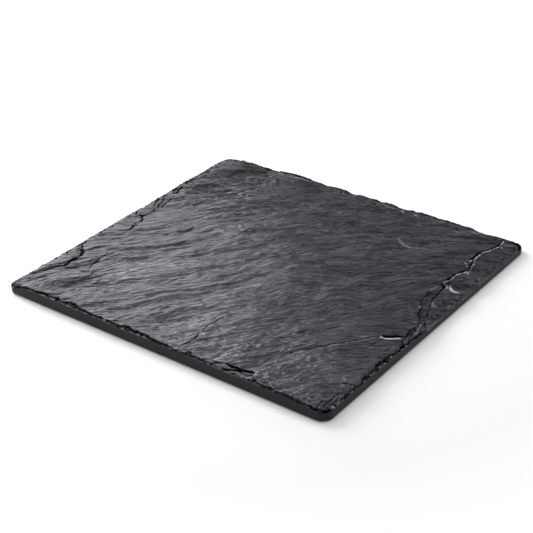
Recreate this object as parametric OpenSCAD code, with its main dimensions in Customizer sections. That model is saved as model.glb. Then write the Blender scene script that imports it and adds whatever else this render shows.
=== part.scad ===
// Serving tray moulded in melamine, with a top that copies split slate.
// The moulding is a shallow upturned shell: a riven panel, flaked edges and a plain skirt.
// It stands on four rubber bumpers, each stuck into a seat on the underside.
// Millimetres. X runs along the longer side, Z is up, and the origin is on the ground under the middle.

/* [Outline] */
// Length of the tray along X
tray_w = 354; // [340:1:380]
// Width of the tray along Y
tray_d = 325; // [315:1:350]
// Radius of the four upright corners
corner_r = 10; // [8:1:14]

/* [Heights above the ground] */
// Bottom of the skirt, held clear of the ground by the bumpers
skirt_z = 1; // [0.6:0.1:1.4]
// Underside of the panel
ceiling_z = 7.2; // [6.8:0.1:7.6]
// Highest ridges of the riven top
top_z = 14.2; // [13.8:0.1:15.5]

/* [Skirt] */
// Thickness of the skirt at its rim
skirt_t = 4; // [3.5:0.5:5]
// Leg of the chamfer that thickens the skirt towards the panel
root_leg = 6; // [3:0.5:6]

/* [Feet] */
// Distance from the walls to the middle of a bumper
foot_inset = 35; // [30:1:45]
// Radius of a bumper at its stuck face
foot_r = 6.35; // [5.5:0.05:7]
// Height of a bumper
foot_h = 3; // [2.5:0.1:3.4]
// Thickness of an adhesive disc
adhesive_t = 0.25; // [0.15:0.05:0.4]
// Play between a bumper and the seat around it
seat_play = 0.25; // [0.15:0.05:0.5]
// Depth of the seat in its boss
seat_depth = 1; // [0.6:0.1:1.4]
// Radius of a foot boss
boss_r = 11; // [9.5:0.5:13]

/* [Riven grain] */
// Number of long shallow furrows in the top
furrow_count = 30; // [0:1:40]
// Depth of the deepest furrow
furrow_depth = 0.9; // [0.4:0.1:1.4]
// Draw number that lays the furrows out
furrow_seed = 11; // [1:1:40]

/* [Hidden] */
$fn = 64;
melamine_colour = "#35363a";
rubber_colour = "#1c1c1d";
adhesive_colour = "#d9d5c8";

// How far cutters stand out of what they cut
over = 2;
seat_z = foot_h + adhesive_t;
boss_z = seat_z - seat_depth;
adhesive_margin = 0.35;
adhesive_r = foot_r - adhesive_margin;
foot_edge_r = 1.2;
foot_x = tray_w / 2 - foot_inset;
foot_y = tray_d / 2 - foot_inset;
inner_r = corner_r - skirt_t;
// How far pieces of the moulding run into each other
bite = 1;

// Edges run anticlockwise seen from above: front, right, back, left.
// Along an edge, s is the distance from its middle and t the distance in from the wall.
FRONT = 0;
RIGHT = 1;
BACK = 2;
LEFT = 3;

// Chipped stretches of each edge: from s, to s, run-in from the wall, height left standing at the wall
front_chips = [
    [-180, -150, 10, 9.4], [-150, -124, 6, 9.8], [-124, -96, 4.4, 10.2], [-96, -58, 3.8, 10.4],
    [-58, -22, 3.2, 10.6], [-22, -14, 5.4, 10], [-14, 40, 3.4, 10.4], [40, 59, 3.6, 10.5],
    [59, 112, 3.1, 10.2], [112, 150, 3.5, 10.3], [150, 180, 4, 9.9]
];
right_chips = [
    [-165, -112, 6, 9.6], [-112, -38, 7, 9], [-38, -10, 9.4, 8.6], [-10, 42, 12, 8.2],
    [42, 88, 13, 7.8], [88, 166, 14, 7.4]
];
back_chips = [
    [-180, -118, 12, 7.2], [-118, -40, 10, 8.4], [-40, 58, 9, 8.9], [58, 106, 7, 10.6], [106, 180, 9, 8.8]
];
left_chips = [
    [-165, -60, 7, 11.4], [-60, 0, 8, 10.6], [0, 62, 9, 10], [62, 150, 10, 9], [150, 165, 10, 9.2]
];

// Large flakes lost from an edge: edge, height of the floor at the wall, rise of the floor per mm inwards,
// outline in s and t
flakes = [
    [RIGHT, 7.2, 0.24, [[166, -over], [166, 8], [146, 13.5], [130, 16], [112, 20.5], [103, 21.5], [95, 20],
                        [85, 16.5], [79, 12.5], [86, 3], [88, -over]]],
    [RIGHT, 7.6, 0.23, [[88, -over], [86, 3], [79, 12.5], [80, 16.5], [70, 18.5], [60, 20], [51, 21], [47, 17],
                        [45, 12.5], [41.5, 8], [40, 3], [41, -over]]],
    [RIGHT, 7.8, 0.22, [[41, -over], [40, 3], [43, 10], [44, 17], [38, 22.5], [30, 23.5], [20, 22.5], [8, 19],
                        [0, 15], [-8, 11], [-12, 7], [-18, 4], [-23, -over]]],
    [FRONT, 10.6, 0.16, [[60, -over], [62, 4], [74, 5.5], [80, 7.5], [90, 9.5], [102, 11], [106, 7.5],
                         [110, -over]]],
    [LEFT, 9, 0.05, [[62, -over], [70, 5], [78, 12], [86, 19], [92, 23], [98, 24.5], [108, 24.5], [113, 25.5],
                     [119, 22], [127, 19], [137, 15], [143, 7], [151, -over]]],
    [LEFT, 9.6, 0.1, [[-4, -over], [2, 12], [0, 18], [5, 24], [12, 25.5], [18, 22], [24, 27], [29, 27],
                      [34, 20], [44, 14], [52, -over]]]
];

// Cracks in the top: width, depth and the points that they follow
cracks = [
    [2.4, 1.6, [[173, -42], [165, -48], [157, -53], [148, -64]]],
    [1.4, 0.9, [[148, -64], [135, -81], [116, -103]]],
    [1.2, 0.9, [[28.5, -101], [27.5, -113], [28, -124], [27.5, -133], [30.5, -141], [29.5, -150], [29, -163]]]
];

// Furrows lie along the cleavage, which turns from flat on the left to steep on the right
cleavage_mid = 44;
cleavage_turn = 12;
function cleavage_angle(x) = cleavage_mid + cleavage_turn * x / tray_w;

// Furrows keep this far from the walls, and stray from the cleavage by up to half of furrow_stray
furrow_margin = 42;
furrow_stray = 14;
furrow_lengths = [30, 80];
furrow_depths = [0.4 * furrow_depth, furrow_depth];
// Width of a furrow for each mm of its depth
furrow_slope = 9;
function between(range, share) = range[0] + (range[1] - range[0]) * share;
draw = rands(0, 1, 5 * max(furrow_count, 1), furrow_seed);
// Each furrow: middle x, middle y, angle, length, depth
furrows = [for (i = [0 : 1 : furrow_count - 1])
    let (x = (draw[5 * i] - 0.5) * (tray_w - 2 * furrow_margin),
         y = (draw[5 * i + 1] - 0.5) * (tray_d - 2 * furrow_margin),
         angle = cleavage_angle(x) + furrow_stray * (draw[5 * i + 2] - 0.5))
    [x, y, angle, between(furrow_lengths, draw[5 * i + 3]), between(furrow_depths, draw[5 * i + 4])]];

// Solid with round upright corners, standing on z = 0
module round_block(w, d, r, h) {
    translate([-w / 2 + r, -d / 2, 0])
        cube([w - 2 * r, d, h]);
    translate([-w / 2, -d / 2 + r, 0])
        cube([w, d - 2 * r, h]);
    for (x = [-1, 1], y = [-1, 1])
        translate([x * (w / 2 - r), y * (d / 2 - r), 0])
            cylinder(r = r, h = h);
}

// Puts its children on an edge: X along the edge, Y inwards from the wall
module on_edge(edge) {
    half = edge == FRONT || edge == BACK ? tray_d / 2 : tray_w / 2;
    rotate([0, 0, 90 * edge])
        translate([0, -half, 0])
            children();
}

// Prism along X above a floor that rises inwards from wall_z at the wall
module above_floor(from, to, wall_z, rise, reach) {
    translate([from, 0, 0])
        rotate([90, 0, 90])
            linear_extrude(height = to - from)
                polygon([[-over, wall_z - rise * over], [reach, wall_z + rise * reach],
                         [reach, top_z + over], [-over, top_z + over]]);
}

// One chipped stretch of an edge, sloping up to the top over its run-in
module edge_chip(chip) {
    run = chip[2] * (top_z + over - chip[3]) / (top_z - chip[3]);
    above_floor(chip[0], chip[1], chip[3], (top_z - chip[3]) / chip[2], run);
}

// One large flake: its outline, down to its sloping floor
module flake_scar(flake) {
    outline = flake[3];
    ends = [for (p = outline) p[0]];
    reach = max([for (p = outline) p[1]]) + over;
    on_edge(flake[0])
        intersection() {
            linear_extrude(height = top_z + over)
                polygon(outline);
            above_floor(min(ends) - over, max(ends) + over, flake[1], flake[2], reach);
        }
}

// Groove of triangular section between two points of the top
module groove(a, b, width, depth) {
    span = b - a;
    translate([a[0], a[1], top_z])
        rotate([90, 0, 90 + atan2(span[1], span[0])])
            linear_extrude(height = norm(span))
                polygon([[-width / 2, 0], [0, -depth], [width / 2, 0], [width / 2, over], [-width / 2, over]]);
}

module cracks_cut() {
    for (crack = cracks)
        for (i = [0 : len(crack[2]) - 2])
            groove(crack[2][i], crack[2][i + 1], crack[0], crack[1]);
}

module furrows_cut() {
    for (furrow = furrows) {
        middle = [furrow[0], furrow[1]];
        half = furrow[3] / 2 * [cos(furrow[2]), sin(furrow[2])];
        groove(middle - half, middle + half, furrow_slope * furrow[4], furrow[4]);
    }
}

// Hollow of the underside, up to the panel
module underside_hollow() {
    translate([0, 0, -over])
        round_block(tray_w - 2 * skirt_t, tray_d - 2 * skirt_t, inner_r, ceiling_z + over);
}

// Chamfer between the skirt of one edge and the panel
module root_chamfer(edge) {
    side = edge == FRONT || edge == BACK ? tray_w : tray_d;
    length = side - skirt_t;
    on_edge(edge)
        translate([-length / 2, 0, 0])
            rotate([90, 0, 90])
                linear_extrude(height = length)
                    polygon([[skirt_t - bite, ceiling_z - root_leg], [skirt_t, ceiling_z - root_leg],
                             [skirt_t + root_leg, ceiling_z], [skirt_t + root_leg, ceiling_z + bite],
                             [skirt_t - bite, ceiling_z + bite]]);
}

// Boss that carries one bumper
module foot_boss() {
    translate([foot_x, foot_y, boss_z])
        cylinder(r = boss_r, h = ceiling_z - boss_z + bite);
}

module foot_seat() {
    translate([foot_x, foot_y, boss_z - over])
        cylinder(r = foot_r + seat_play, h = seat_depth + over);
}

// Repeats its children in all four corners
module in_corners() {
    for (x = [0, 1], y = [0, 1])
        mirror([x, 0, 0])
            mirror([0, y, 0])
                children();
}

module tray_body() {
    color(melamine_colour)
        difference() {
            union() {
                difference() {
                    translate([0, 0, skirt_z])
                        round_block(tray_w, tray_d, corner_r, top_z - skirt_z);
                    underside_hollow();
                }
                for (edge = [FRONT, RIGHT, BACK, LEFT]) root_chamfer(edge);
                in_corners() foot_boss();
            }
            in_corners() foot_seat();
            for (chip = front_chips) on_edge(FRONT) edge_chip(chip);
            for (chip = right_chips) on_edge(RIGHT) edge_chip(chip);
            for (chip = back_chips) on_edge(BACK) edge_chip(chip);
            for (chip = left_chips) on_edge(LEFT) edge_chip(chip);
            for (flake = flakes) flake_scar(flake);
            cracks_cut();
            furrows_cut();
        }
}

// Moulded bumper: a low round button with a rounded lower edge, stuck at its top face
module foot(x, y) {
    flat_r = foot_r - foot_edge_r;
    color(rubber_colour)
        translate([x * foot_x, y * foot_y, 0])
            rotate_extrude()
                polygon([[0, 0], for (a = [0 : 15 : 90]) [flat_r + foot_edge_r * sin(a), foot_edge_r * (1 - cos(a))],
                         [foot_r, foot_h], [0, foot_h]]);
}

module adhesive(x, y) {
    color(adhesive_colour)
        translate([x * foot_x, y * foot_y, foot_h])
            cylinder(r = adhesive_r, h = adhesive_t);
}

tray_body();
foot(-1, -1);  // foot_front_left
foot(1, -1);  // foot_front_right
foot(-1, 1);  // foot_back_left
foot(1, 1);  // foot_back_right
adhesive(-1, -1);  // adhesive_front_left
adhesive(1, -1);  // adhesive_front_right
adhesive(-1, 1);  // adhesive_back_left
adhesive(1, 1);  // adhesive_back_right
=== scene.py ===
import math

import bpy
import numpy as np
from mathutils import Matrix, Vector
from mathutils.geometry import tessellate_polygon


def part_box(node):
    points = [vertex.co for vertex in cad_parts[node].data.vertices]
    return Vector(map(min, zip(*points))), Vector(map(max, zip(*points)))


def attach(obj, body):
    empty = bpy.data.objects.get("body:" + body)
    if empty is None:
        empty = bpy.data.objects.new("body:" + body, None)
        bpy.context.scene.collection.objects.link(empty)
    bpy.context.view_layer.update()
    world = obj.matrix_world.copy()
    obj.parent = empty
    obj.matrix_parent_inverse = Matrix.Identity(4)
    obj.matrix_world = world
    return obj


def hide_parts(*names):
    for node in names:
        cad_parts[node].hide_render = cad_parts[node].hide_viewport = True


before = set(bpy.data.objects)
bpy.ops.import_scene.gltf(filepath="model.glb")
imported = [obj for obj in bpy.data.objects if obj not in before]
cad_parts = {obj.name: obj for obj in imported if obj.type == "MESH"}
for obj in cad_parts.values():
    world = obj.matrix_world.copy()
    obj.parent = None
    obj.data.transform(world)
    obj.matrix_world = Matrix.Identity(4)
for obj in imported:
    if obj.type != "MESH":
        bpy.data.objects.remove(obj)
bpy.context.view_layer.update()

# Tray body
# One compression moulding in charcoal melamine, coloured right through. The press gives it the split-slate
# top, the flaked edges, the plain skirt, the hollow underside and the four foot bosses in one stroke.
# Lengths in this section are millimetres; X runs along the front edge and Y towards the back.
MM = 0.001
low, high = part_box("tray_body")
half_w = high.x / MM
half_d = high.y / MM
skirt_z = low.z / MM
ridge_z = high.z / MM - 0.05
corner_r = 10
panel_z = 13.0

# The mesh of the top is a grid, finer in a band along the edges where the flakes are
edge_band = 28
edge_pitch = 0.5
panel_pitch = 1.0


def graded_lines(half):
    """Grid positions from -half to half."""
    band = np.linspace(0, edge_band, round(edge_band / edge_pitch) + 1)
    inner = half - edge_band
    middle = np.linspace(-inner, inner, round(2 * inner / panel_pitch) + 1)
    return np.concatenate([band[:-1] - half, middle, half - band[-2::-1]])


lines_x = graded_lines(half_w)
lines_y = graded_lines(half_d)
gx, gy = np.meshgrid(lines_x, lines_y, indexing="ij")

# The corner squares of the grid are bent onto quarter discs of the outline
over_x = np.clip(np.abs(gx) - half_w + corner_r, 0, None)
over_y = np.clip(np.abs(gy) - half_d + corner_r, 0, None)
reach = np.maximum(over_x, over_y)
share = np.minimum(over_x, over_y) / np.maximum(reach, 1e-9)
turn = np.where(over_x >= over_y, math.pi / 4 * share, math.pi / 2 - math.pi / 4 * share)
in_corner = (over_x > 0) & (over_y > 0)
gx = np.where(in_corner, np.sign(gx) * (half_w - corner_r + reach * np.cos(turn)), gx)
gy = np.where(in_corner, np.sign(gy) * (half_d - corner_r + reach * np.sin(turn)), gy)


def noise(x, y, seed):
    """Smooth noise with lumps about one unit across, mostly between -1 and 1."""
    angle = np.random.default_rng(seed).uniform(0, 2 * math.pi, (256, 256))
    cell_x = np.floor(x).astype(int)
    cell_y = np.floor(y).astype(int)
    fx = x - cell_x
    fy = y - cell_y

    def corner(dx, dy):
        a = angle[(cell_x + dx) % 256, (cell_y + dy) % 256]
        return np.cos(a) * (fx - dx) + np.sin(a) * (fy - dy)

    u = fx**3 * (fx * (6 * fx - 15) + 10)
    v = fy**3 * (fy * (6 * fy - 15) + 10)
    near = corner(0, 0) * (1 - u) + corner(1, 0) * u
    far = corner(0, 1) * (1 - u) + corner(1, 1) * u
    return 1.6 * (near * (1 - v) + far * v)


def smooth(value):
    """Smooth step from 0 to 1 as value goes from 0 to 1."""
    value = np.clip(value, 0, 1)
    return value * value * (3 - 2 * value)


def line_distance(x, y, points):
    """Distance from a line of points, positive on its right, and the share of the way along it."""
    away = np.full(x.shape, 1e6)
    along = np.zeros(x.shape)
    total = sum(math.dist(p, q) for p, q in zip(points, points[1:]))
    done = 0
    for (x0, y0), (x1, y1) in zip(points, points[1:]):
        dx = x1 - x0
        dy = y1 - y0
        size = math.hypot(dx, dy)
        u = np.clip(((x - x0) * dx + (y - y0) * dy) / size**2, 0, 1)
        ex = x - x0 - u * dx
        ey = y - y0 - u * dy
        gap = np.hypot(ex, ey)
        nearer = gap < np.abs(away)
        away = np.where(nearer, np.where(ex * dy >= ey * dx, gap, -gap), away)
        along = np.where(nearer, (done + u * size) / total, along)
        done += size
    return away, along


def around(points, margin):
    """The slices of the grid that hold these points, with a margin round them."""
    xs = [p[0] for p in points]
    ys = [p[1] for p in points]
    i = np.searchsorted(lines_x, [min(xs) - margin, max(xs) + margin])
    j = np.searchsorted(lines_y, [min(ys) - margin, max(ys) + margin])
    return slice(*i), slice(*j)


# Cleavage grain: distance along it and across it, bent flatter towards the back and waving a little
grain_turn = math.radians(47)
back_bend = 0.003
back_bend_y = 40
along_grain = gx * math.cos(grain_turn) + gy * math.sin(grain_turn)
across_grain = gy * math.cos(grain_turn) - gx * math.sin(grain_turn)
across_grain += back_bend * np.clip(gy - back_bend_y, 0, None) ** 2
across_grain += 6 * noise(gx / 85, gy / 85, 1) + 2 * noise(gx / 30, gy / 30, 2)

# The relief is strongest at the left, at the front and along the back, and calm inside the right-hand edge
relief = np.interp(gx, [-177, -60, 20, 130, 177], [1.05, 0.8, 0.68, 0.75, 0.55])
relief *= 1 - 0.25 * np.exp(-((gy / 45) ** 2))
relief += 0.3 * smooth((-70 - gy) / 60) + 0.6 * smooth((gy - 30) / 60) * (1 - 0.7 * smooth((gx - 110) / 40))

swell = 0.38 * noise(gx / 120, gy / 120, 3) + 0.25 * noise(gx / 55, gy / 55, 4)


def shelves(pitch, rise, seed):
    """Layers split off one after another: each climbs across the grain to a ragged lip and drops at it."""
    order = -across_grain / pitch
    order += 0.9 * noise(along_grain / (7 * pitch), across_grain / (2.4 * pitch), seed)
    order += 0.3 * noise(along_grain / (2.4 * pitch), across_grain / (0.9 * pitch), seed + 1)
    order += 0.12 * noise(along_grain / (0.8 * pitch), across_grain / (0.35 * pitch), seed + 2)
    part = order - np.floor(order)
    climb = np.where(part < 0.7, part / 0.7, 1 - smooth((part - 0.7) / 0.3))
    present = smooth(0.5 + 1.2 * noise(along_grain / (3.5 * pitch), across_grain / (1.4 * pitch), seed + 3))
    return rise * present * (climb - 0.5)


# The finer the relief, the more ragged it is
ragged_along = along_grain + noise(gx / 5, gy / 5, 14)
ragged_across = across_grain + 0.6 * noise(gx / 6, gy / 6, 15) + 0.2 * noise(gx / 2.6, gy / 2.6, 16)
waves = swell + relief * (1.3 * noise(along_grain / 60, across_grain / 20, 5)
                          + 0.9 * noise(along_grain / 36, across_grain / 11, 17))
waves *= 0.4 + 0.6 * smooth(np.minimum(half_w - np.abs(gx), half_d - np.abs(gy)) / 32)
ripple = 0.42 * noise(ragged_along / 19, ragged_across / 5.5, 6)
ripple += 0.3 * noise(ragged_along / 9, ragged_across / 3.3, 7)
ripple += 0.2 * noise(ragged_along / 5, ragged_across / 2.2, 13)
ripple += shelves(17, 0.6, 70) + shelves(8, 0.3, 80)
height = panel_z + waves + relief * ripple

# What the finish needs to know: painted shade, dark in cracks, grooves, crevices and along broken edges, and
# pale marks that are partly worn edges and partly painted highlights, both from 0 to 1, painted light and
# shade that is lighter above 0 and darker below it, and the strength of the grain
painted_shade = np.zeros(gx.shape)
wear_and_highlight = np.zeros(gx.shape)
# Broad painted light and shade: lighter towards the front from the middle rightwards and along the back,
# darker at the far left
painted_light = 1.2 * smooth((gx + 60) / 80) * smooth((-40 - gy) / 50) - 1.5 * smooth((-80 - gx) / 60)
painted_light += 0.6 * smooth((gx + 90) / 50) * smooth((140 - gx) / 40) * smooth((gy - 50) / 50)
riven = 0.8 + 0.18 * smooth((gx + 20) / 120) + 0.4 * smooth((-30 - gx) / 70)
riven += 0.2 * smooth((gy - 30) / 60) + 0.12 * smooth((-50 - gy) / 60)

# Lines in the stone wander by up to about a millimetre
stray_x = gx + 0.8 * noise(gx / 6, gy / 6, 9) + 0.35 * noise(gx / 2.2, gy / 2.2, 10)
stray_y = gy + 0.8 * noise(gx / 6, gy / 6, 11) + 0.35 * noise(gx / 2.2, gy / 2.2, 12)


def add_step(points, rise, run):
    """Cleavage step: the top climbs to the line from its left, drops there, and climbs back on its right."""
    part = around(points, 3 * run)
    away, along = line_distance(stray_x[part], stray_y[part], points)
    fade = np.sqrt(np.clip(4 * along * (1 - along), 0, 1))
    height[part] -= 0.5 * rise * fade * np.tanh(away / 0.6) * np.exp(-np.abs(away) / run)


# Small cleavage steps lie all over the top, each roughly along the grain where it is
# Grain direction in degrees at places of the top: x, y, direction
grain_places = [
    (-140, 120, 56), (-60, 125, 38), (20, 120, 34), (110, 115, 30), (-120, 60, 54), (-40, 75, 48),
    (40, 60, 56), (110, 70, 42), (-110, 0, 62), (-20, 10, 62), (60, 10, 58), (135, 0, 48), (-100, -70, 56),
    (-20, -70, 54), (60, -70, 54), (135, -70, 50), (-110, -130, 54), (-20, -130, 48), (60, -130, 54),
    (140, -125, 58)]


def grain_direction(x, y):
    """Direction of the grain at a point, weighted towards the nearest places."""
    weights = [1 / (math.dist((x, y), place[:2]) ** 2 + 200) for place in grain_places]
    return sum(w * place[2] for w, place in zip(weights, grain_places)) / sum(weights)


step_count = 520
step_lengths = (8, 30)
step_rises = (0.08, 0.32)
step_runs = (2.5, 6)
draw = np.random.default_rng(8)
for _ in range(step_count):
    x = draw.uniform(-half_w + 6, half_w - 20)
    y = draw.uniform(-half_d + 6, half_d - 8)
    way = math.radians(grain_direction(x, y) + draw.normal(0, 8))
    length = draw.uniform(*step_lengths)
    rise = draw.uniform(*step_rises)
    points = []
    for t in (-0.5, -0.2, 0.15, 0.5):
        aside = draw.normal(0, 0.04) * length
        points.append((x + t * length * math.cos(way) - aside * math.sin(way),
                       y + t * length * math.sin(way) + aside * math.cos(way)))
    add_step(points, rise, draw.uniform(*step_runs))

# The larger steps, one by one: rise and the points from lower left to upper right
large_steps = [
    (1.0, [(-132.6, -137), (-129.2, -128), (-122.4, -124.5), (-118.5, -120.8), (-116.6, -116)]),
    (0.6, [(-95.5, -141), (-92.5, -133), (-86.5, -126), (-77, -121), (-68, -118)]),
    (0.6, [(-95.5, -157), (-87, -149), (-79, -143), (-71, -137), (-65, -136)]),
    (0.8, [(-43, -130), (-40, -125), (-29.5, -121), (-18.5, -115), (-12, -112)]),
    (0.5, [(-59, -142), (-51, -136), (-45, -133)]),
    (0.6, [(-18.5, -79), (-15.5, -72), (-11.5, -64), (-10, -57)]),
    (0.6, [(-38, -41), (-30, -34), (-23.5, -27), (-17.5, -18), (-10, -7)]),
    (0.55, [(-45, -11), (-37, 1), (-27.5, 9), (-21.5, 21), (-17.5, 37)]),
    (0.5, [(-105.5, -23), (-101.5, -7), (-97.5, 13), (-95.5, 29)]),
    (0.5, [(-90.5, -31), (-88.5, -21), (-86, -12)]),
    (0.55, [(-130.5, -55), (-122.5, -45), (-111.5, -36), (-104.5, -30)]),
    (0.7, [(-130.5, 45), (-120.5, 51), (-110.5, 58), (-102.5, 63), (-92.5, 70)]),
    (0.5, [(-97.5, 74), (-88.5, 83), (-81, 90)]),
    (0.5, [(-148.5, 29), (-139.5, 33), (-130.5, 41), (-118.5, 52)]),
    (0.6, [(-65, 91), (-59, 98), (-52, 107), (-44, 112), (-27.5, 119)]),
    (0.55, [(-150.5, 113), (-145.5, 123), (-140.5, 132), (-134.5, 146)]),
    (0.45, [(-116.5, 129), (-102.5, 131), (-88.5, 139), (-77, 147)]),
    (0.5, [(-10, 135), (4, 140), (20, 149)]),
    (0.5, [(29.5, 135), (41.5, 142), (53.5, 149)]),
    (0.4, [(39.5, 83), (46.5, 91), (56.5, 100)]),
    (0.5, [(60.5, -115), (62, -105), (66, -96), (71, -89)]),
    (0.6, [(70, -94), (77, -85), (83, -78), (87, -75)]),
    (0.45, [(93, -97), (97, -91), (103, -83), (107, -74), (114, -65), (118.5, -56)]),
    (0.45, [(130.5, -117), (138.5, -109), (144.5, -102), (151.5, -95)]),
    (0.5, [(30.5, -135), (35.5, -129), (44.5, -126)]),
    (0.5, [(45.5, -132), (50.5, -129), (57.5, -131), (63.5, -130)]),
    (0.45, [(6, -152), (13, -149), (21, -148)]),
    (0.4, [(134.5, 1), (139.5, 9), (146.5, 16)]),
    (0.4, [(111, 9), (117, 13), (122.5, 19)]),
    (0.5, [(61.5, 123), (69.5, 131), (79, 142)]),
    (0.45, [(98, 118), (110, 122), (122, 130)]),
    (0.4, [(60, 60), (72, 66), (84, 76), (92, 84)]),
]
large_run = 6
for rise, points in large_steps:
    add_step(points, rise, large_run)

# Plates that lean towards the light or away from it and so look lighter or darker: x, y, half length,
# half width, direction, lean; the slope of a plate goes with its lean, and its colour is painted lighter or
# darker with it as painted light and shade
plates = [
    (-85, -77, 34, 13, 42, 0.9), (-61, -45, 26, 12, 35, 0.5), (-136, -115, 14, 9, 50, 0.6),
    (8, -123, 26, 9, 52, 0.8), (-30, -111, 14, 6, 52, 0.7), (-20, -145, 16, 7, 45, 0.5),
    (90, -87, 10, 6, 70, 0.8), (14, -66, 16, 6, 25, 0.5), (69, -139, 14, 7, 50, 0.4),
    (-55, 3, 22, 9, 62, 0.4), (115, 18, 4, 2.5, 10, 0.9), (123, 35, 24, 7, 42, 0.5),
    (-109, 69, 26, 5, 40, 0.4), (-55, 73, 14, 3, 15, 0.5), (-47, 105, 24, 6, 36, 0.4),
    (75, 67, 26, 12, 40, 0.3), (107, -149, 8, 6, 50, 0.5), (124, -155, 10, 4, 30, 0.5),
    (-138, 133, 26, 16, 60, -1.1), (-124, -131, 20, 10, 52, -0.9), (-81, -127, 20, 8, 40, -0.7),
    (-12, -115, 12, 7, 45, -0.6), (-117, 47, 22, 8, 30, -0.6), (20, 139, 60, 12, 10, -0.5),
    (139, -3, 26, 18, 60, -0.4), (149, -77, 26, 14, 50, -0.3), (-20, 53, 18, 8, 40, -0.3),
    (-112, 128, 30, 12, 10, -0.8), (-50, 122, 22, 10, 30, 0.7), (-57, -71, 18, 7, 45, -0.5),
    (-150, 60, 30, 12, 84, -0.6), (-160, 0, 26, 9, 86, -0.4), (150, 143.5, 16, 4.5, 22, -1.2),
    (40, 145, 14, 3, 35, -1.0)]
lean_slope = 0.13
lean_painted_light = 1.4
for x, y, half_length, half_width, way, lean in plates:
    c = math.cos(math.radians(way))
    s = math.sin(math.radians(way))
    u = ((gx - x) * c + (gy - y) * s) / half_length
    v = ((gy - y) * c - (gx - x) * s) / half_width
    spread = np.exp(-(u * u + v * v))
    height -= lean_slope * lean * half_width * v * spread
    painted_light += lean_painted_light * lean * spread

# Edges: what is left standing of the moulding along each edge, as points of s (along the edge, anticlockwise
# seen from above), height of the plain wall, height of the ledge under the lip, distance of the lip from
# the wall, droop of the top at the lip
front_edge = [
    (-177, 8.4, 9.4, 3.6, 3.0), (-166, 10.2, 11, 3.2, 1.8), (-155, 11.6, 12, 2.6, 0.6),
    (-140, 11.8, 12.1, 2.2, 0.2), (-125, 11.8, 12.1, 3.2, 0.1), (-113, 11.8, 12, 4.2, 0.1),
    (-107, 11.8, 12.2, 2.8, 0.1), (-95, 11.8, 12, 4.4, 0.1), (-82, 11.8, 12.1, 3.4, 0.1),
    (-70, 11.8, 12.2, 2.4, 0.1), (-54, 11.8, 12.1, 3, 0.1), (-36, 11.6, 11.9, 2.4, 0.1),
    (-33, 11.2, 11.4, 4.2, 0.2), (-11, 11.2, 11.4, 5.2, 0.2), (-9, 11.8, 12.2, 2.6, 0.1),
    (8, 11.8, 12.3, 1.8, 0.1), (36, 11.8, 12.3, 1.4, 0.1), (38, 11.8, 12, 4, 0.1),
    (44, 11.8, 12.2, 2.8, 0.1), (62, 11.6, 12, 2.8, 0.2), (112, 11.6, 12.2, 2, 0.2),
    (150, 11.8, 12.3, 1.4, 0.1), (160, 11.6, 12.1, 1.4, 0.4), (168, 10.6, 11, 2.8, 1.4),
    (177, 9, 9.4, 3.6, 1.8)]
right_edge = [
    (-162, 9.0, 9.6, 3.0, 1.8), (-152, 9.6, 11.2, 1.8, 0.9), (-113, 9.5, 11.4, 1.6, 0.4),
    (-106, 9.2, 11.0, 3.4, 0.5), (-89, 8.8, 10.6, 4.6, 0.7), (-74, 8.8, 10.6, 3.6, 0.7),
    (-59, 8.6, 10.6, 2.8, 0.8), (-49, 8.4, 10.2, 2.4, 1.0), (-42, 8.2, 10.0, 2.4, 1.2),
    (-19, 7.6, 8.8, 1.8, 1.2), (-12, 7.2, 7.4, 0.4, 0.4), (0, 7.0, 7.2, 0.2, 0.2),
    (150, 6.8, 7.0, 0.2, 0.2), (162, 6.6, 6.8, 0.2, 1.0)]
back_walls = [
    (-177, 6.4), (-160, 6.8), (-150, 7.1), (-131, 6), (-126, 6.8), (-120, 8.6), (-110, 8.2), (-95, 9),
    (-84, 8.2), (-80, 9), (-66, 9.3), (-55, 7.9), (-48, 7.3), (-40, 7.5), (-26, 9.3), (-18, 8.2), (-12, 9.3),
    (-5, 8.6), (4, 9.3), (10, 7.5), (18, 7.9), (24, 9.7), (36, 9.9), (48, 8.6), (55, 9.7), (65, 9.7),
    (70, 10.8), (78, 11.4), (88, 11.6), (104, 10.4), (107, 9), (117, 8.4), (125, 9.4), (130, 8.9),
    (140, 9.6), (150, 9.4), (160, 8.8), (170, 8.2), (177, 7.6)]
back_edge = [(s, wall, wall + 0.2, 4.6, max(10.8 - wall, 0.2)) for s, wall in back_walls]
left_edge = [
    (-162, 9.2, 9.8, 4.0, 2.2), (-138, 10.4, 10.8, 3.4, 1.0), (-111, 9.4, 10, 4.2, 1.2),
    (-85, 10.2, 10.6, 3.4, 0.8), (-60, 8.8, 9.4, 5.0, 1.0), (-34, 8.6, 9.4, 5.4, 1.2),
    (-22, 7.2, 8.2, 6.6, 1.4), (-8, 8.4, 9.2, 5.4, 1.2), (20, 8.0, 8.8, 5.6, 1.4), (58, 7.4, 8.2, 5.8, 1.6),
    (80, 6.4, 7.4, 6.4, 1.8), (91, 6.6, 7.6, 6.2, 1.8), (122, 6.0, 7.2, 6.4, 2.0), (152, 6.2, 7.2, 6.0, 2.4),
    (162, 6.4, 7.2, 5.4, 3.0)]

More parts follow.
